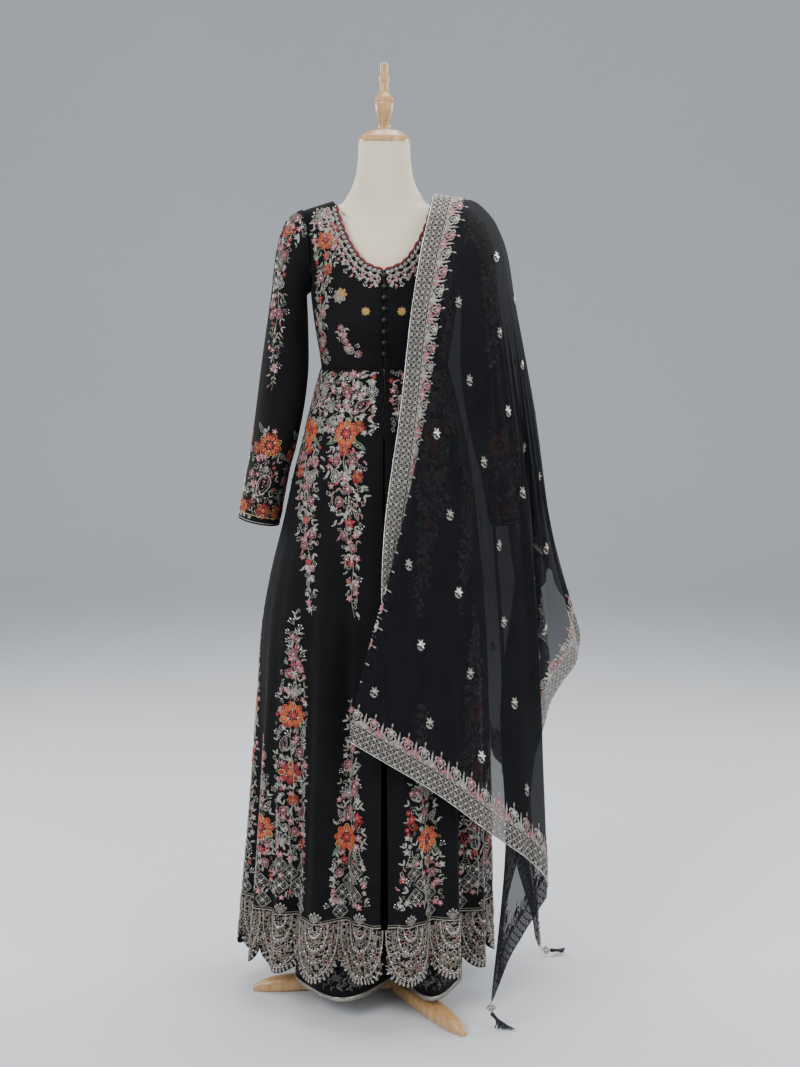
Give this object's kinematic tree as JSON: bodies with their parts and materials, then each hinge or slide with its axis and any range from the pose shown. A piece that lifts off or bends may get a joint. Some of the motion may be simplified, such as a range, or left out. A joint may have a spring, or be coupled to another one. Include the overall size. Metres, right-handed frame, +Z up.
{
  "type": "palazzo suit on a dress form",
  "caption": "Black embroidered palazzo suit: panelled anarkali gown, palazzo trousers and a bordered dupatta over one shoulder, on a limbless dress form with a wooden tripod.",
  "frame": {"origin": "centre of the whole part's box on the floor it stands on", "axes": "+Z up, +Y to the wearer's back, +X to the wearer's left"},
  "size_m": [0.6682, 0.4914, 1.7601],
  "materials": {
    "black_cloth": "matt georgette with coloured thread embroidery",
    "black_sheer": "fine sheer georgette with small embroidered motifs",
    "silver_border": "silver and pink embroidered border",
    "neck_edging": "crimson and silver embroidered edging",
    "silver_braid": "dull metallic braid",
    "tassel_thread": "soft thread",
    "form_cloth": "cream jersey over a firm form",
    "wood": "clear varnish",
    "pole_metal": "satin"
  },
  "bodies": {
    "root": {"bodice_back": "black_cloth", "bodice_front_left": "black_cloth", "bodice_front_right": "black_cloth", "button_1": "black_cloth", "button_2": "black_cloth", "button_3": "black_cloth", "button_4": "black_cloth", "button_5": "black_cloth", "button_6": "black_cloth", "button_7": "black_cloth", "button_8": "black_cloth", "dupatta_edge_border": "silver_border", "dupatta_field": "black_sheer", "dupatta_neck_border": "silver_border", "finial": "wood", "form_torso": "form_cloth", "gore_back_left_centre": "black_cloth", "gore_back_left_side": "black_cloth", "gore_back_right_centre": "black_cloth", "gore_back_right_side": "black_cloth", "gore_front_left_centre": "black_cloth", "gore_front_left_side": "black_cloth", "gore_front_right_centre": "black_cloth", "gore_front_right_side": "black_cloth", "neck_cap": "wood", "neck_edging_left": "neck_edging", "neck_edging_right": "neck_edging", "ornament_back": "silver_braid", "ornament_front": "silver_braid", "palazzo_back_left": "black_cloth", "palazzo_back_right": "black_cloth", "palazzo_braid_back_left": "silver_braid", "palazzo_braid_back_right": "silver_braid", "palazzo_braid_front_left": "silver_braid", "palazzo_braid_front_right": "silver_braid", "palazzo_front_left": "black_cloth", "palazzo_front_right": "black_cloth", "pole": "pole_metal", "sleeve_left": "black_cloth", "sleeve_right": "black_cloth", "stand_hub": "wood", "stand_leg_1": "wood", "stand_leg_2": "wood", "stand_leg_3": "wood", "tassel_back": "tassel_thread", "tassel_front": "tassel_thread"}
  },
  "joints": []
}
